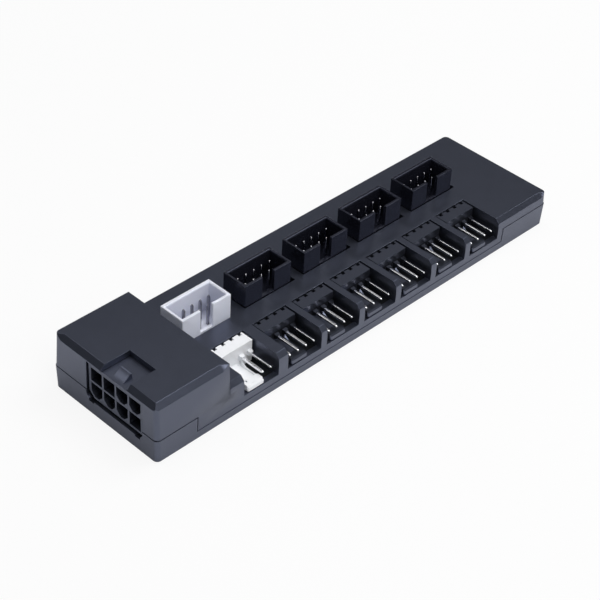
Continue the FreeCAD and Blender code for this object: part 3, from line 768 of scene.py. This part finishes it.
class AddFanHeaders(bpy.types.Operator):
    """Add the right-angle headers in the bays, with their pins"""

    bl_idname = "fan_hub.add_fan_headers"
    bl_label = "Fan headers"

    def execute(self, context):
        made = finishes()
        header, pin = context.scene.hub_header, context.scene.hub_pin
        headers = [("signal_header_body", "signal_header_pins", "white_plastic", "signal_plastic",
                    FAN_WAYS - SIGNAL_EMPTY_WAYS)]
        for number in range(1, FAN_HEADERS + 1):
            headers.append(("fan_header_body_%d" % number, "fan_header_pins_%d" % number,
                            "header_plastic", "fan_plastic", FAN_WAYS))
        for body_node, pins_node, slot, finish, ways in headers:
            body = joined_copy(body_node, body_node.replace("body", "moulding"))
            rounded(body, header.edge_radius)
            dressed(body, made[finish], slot, body_node)
            low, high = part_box(pins_node)
            reach = high.y - low.y - pin.size / 2
            height = high.z - pin.size / 2
            elbow = elbow_pin(pins_node.replace("pins", "contacts"), pin.size, pin.tip_size, pin.tip_length,
                              reach, height, low.z, pin.bend_radius, pin.bend_steps)
            centre = ((low.x + high.x) / 2, low.y, 0.0)
            pins_from(elbow, made["plated_pins"], pins_node, centre, ways)
        return {"FINISHED"}


class AddBoard(bpy.types.Operator):
    """Give the circuit board and the parts on it their finishes"""

    bl_idname = "fan_hub.add_board"
    bl_label = "Circuit board"

    def execute(self, context):
        made = finishes()
        paint_node("circuit_board", made["board_laminate"])
        paint_node("input_capacitors", made["capacitor_can"])
        paint_node("controller_chip", made["chip_package"])
        paint_node("driver_chips", made["chip_package"])
        paint_node("chip_resistors", made["resistor_body"])
        return {"FINISHED"}


# Stage

def seen_by(tree, *levels):
    """The highest level among the kinds that a ray is; each level comes with its kind of ray."""
    path = tree.nodes.new("ShaderNodeLightPath").outputs
    first, *others = [worked_out(tree, "MULTIPLY", path[kind], level) for kind, level in levels]
    for other in others:
        first = worked_out(tree, "MAXIMUM", first, other)
    return first


def floor_material(stage):
    """White floor that keeps a light shadow and shines white to the camera and to gloss."""
    material, tree, shader = blank_material("studio_floor")
    cloud = noise(tree, own_coordinates(tree), FLOOR_CLOUD)
    link(tree, tinted(tree, cloud, stage.floor_white, FLOOR_DRIFT), shader.inputs["Base Color"])
    shader.inputs["Roughness"].default_value = FLOOR_ROUGHNESS
    glow = tree.nodes.new("ShaderNodeEmission")
    glow.inputs["Strength"].default_value = 1.0
    shown = seen_by(tree, ("Is Camera Ray", stage.floor_shine), ("Is Transmission Ray", stage.floor_shine),
                    ("Is Glossy Ray", stage.floor_gloss))
    mix = tree.nodes.new("ShaderNodeMixShader")
    link(tree, shown, mix.inputs[0])
    link(tree, shader.outputs[0], mix.inputs[1])
    link(tree, glow.outputs[0], mix.inputs[2])
    link(tree, mix.outputs[0], tree.nodes["Material Output"].inputs["Surface"])
    return material


def lay_floor(stage):
    """Square floor just under the hub."""
    half = stage.floor_size / 2
    low = cad_box[0].z - FLOOR_GAP
    corners = [(-half, -half, low), (half, -half, low), (half, half, low), (-half, half, low)]
    mesh = bpy.data.meshes.new("studio_floor")
    mesh.from_pydata(corners, [], [(0, 1, 2, 3)])
    floor = new_object("studio_floor", mesh)
    floor.data.materials.append(floor_material(stage))


def studio_world(stage):
    """Studio round the hub: white near the floor, greyer overhead, white behind the hub to the camera."""
    world = bpy.data.worlds.new("Studio")
    world.use_nodes = True
    tree = world.node_tree
    background = tree.nodes["Background"]
    background.inputs["Color"].default_value = (*stage.sky, 1.0)
    height = height_of(tree, tree.nodes.new("ShaderNodeTexCoord").outputs["Generated"])
    level = moved_range(tree, height, (0.0, HORIZON_REACH), (1.0, stage.ceiling), "SMOOTHSTEP")
    shown = seen_by(tree, ("Is Camera Ray", 1.0), ("Is Transmission Ray", 1.0))
    link(tree, worked_out(tree, "MAXIMUM", level, shown), background.inputs["Strength"])
    bpy.context.scene.world = world


def outwards(azimuth, elevation):
    """Direction from the hub to something seen at this azimuth, counted from the front, and elevation."""
    level = math.cos(elevation)
    return Vector((math.sin(azimuth) * level, -math.cos(azimuth) * level, math.sin(elevation)))


def lamp(name, azimuth, elevation, distance, width, height, level):
    """Soft lamp turned to the hub; level is what it adds to a white surface that faces it."""
    data = bpy.data.lights.new(name, "AREA")
    data.shape = "RECTANGLE"
    data.size = width
    data.size_y = height
    data.energy = level * (math.pi * distance) ** 2
    made = new_object(name, data)
    back = outwards(math.radians(azimuth), math.radians(elevation))
    made.location = back * distance
    made.rotation_euler = back.to_track_quat("Z", "Y").to_euler()


def place_camera(stage):
    """Camera that sees the hub as the photograph does."""
    data = bpy.data.cameras.new("Camera")
    data.lens = stage.lens
    data.sensor_width = SENSOR_WIDTH
    data.clip_start = NEAREST_SEEN
    data.clip_end = FARTHEST_SEEN
    camera = new_object("Camera", data)
    back = outwards(stage.azimuth, stage.elevation)
    level_right = Vector((math.cos(stage.azimuth), math.sin(stage.azimuth), 0.0))
    level_up = back.cross(level_right)
    right = level_right * math.cos(stage.roll) + level_up * math.sin(stage.roll)
    up = level_up * math.cos(stage.roll) - level_right * math.sin(stage.roll)
    aim = Vector((0.0, 0.0, stage.aim_height))
    place = aim + right * stage.slide_right + up * stage.slide_up + back * stage.distance
    turn = Matrix((right, up, back)).transposed().to_4x4()
    camera.matrix_world = Matrix.Translation(place) @ turn
    bpy.context.scene.camera = camera


class AddStage(bpy.types.Operator):
    """Add the floor, the lamps, the studio and the camera"""

    bl_idname = "fan_hub.add_stage"
    bl_label = "Stage"

    def execute(self, context):
        stage = context.scene.hub_stage
        lay_floor(stage)
        for *placing, setting in LAMPS:
            lamp(*placing, getattr(stage, setting))
        studio_world(stage)
        place_camera(stage)
        context.scene.view_settings.view_transform = "Standard"
        return {"FINISHED"}


# Panel

class HubPanel(bpy.types.Panel):
    """Sizes, colours and buttons for the hub"""

    bl_idname = "VIEW3D_PT_fan_hub"
    bl_label = "Fan Controller Hub"
    bl_space_type = "VIEW_3D"
    bl_region_type = "UI"
    bl_category = "Fan Hub"

    def draw(self, context):
        for operator, groups in STEPS:
            box = self.layout.box()
            box.operator(operator.bl_idname)
            for group in groups:
                settings = getattr(context.scene, group)
                for name in settings.__annotations__:
                    box.prop(settings, name)


STEPS = (
    (AddCase, ("hub_case",)),
    (AddInlet, ("hub_inlet",)),
    (AddBoxHeaders, ("hub_header", "hub_pin")),
    (AddFanHeaders, ()),
    (AddBoard, ("hub_board",)),
    (AddStage, ("hub_stage",)),
)
GROUPS = {
    "hub_case": CaseSettings,
    "hub_inlet": InletSettings,
    "hub_header": HeaderSettings,
    "hub_pin": PinSettings,
    "hub_board": BoardSettings,
    "hub_stage": StageSettings,
}
CLASSES = tuple(GROUPS.values()) + tuple(operator for operator, _ in STEPS) + (HubPanel,)


def register():
    """Add the settings, the operators and the panel."""
    for cls in CLASSES:
        bpy.utils.register_class(cls)
    for name, group in GROUPS.items():
        setattr(bpy.types.Scene, name, PointerProperty(type=group))


def unregister():
    """Take the settings, the operators and the panel away."""
    for name in GROUPS:
        delattr(bpy.types.Scene, name)
    for cls in reversed(CLASSES):
        bpy.utils.unregister_class(cls)


def main():
    """Build everything in order."""
    register()
    for operator, _ in STEPS:
        group, name = operator.bl_idname.split(".")
        getattr(getattr(bpy.ops, group), name)()


if __name__ == "__main__":
    main()
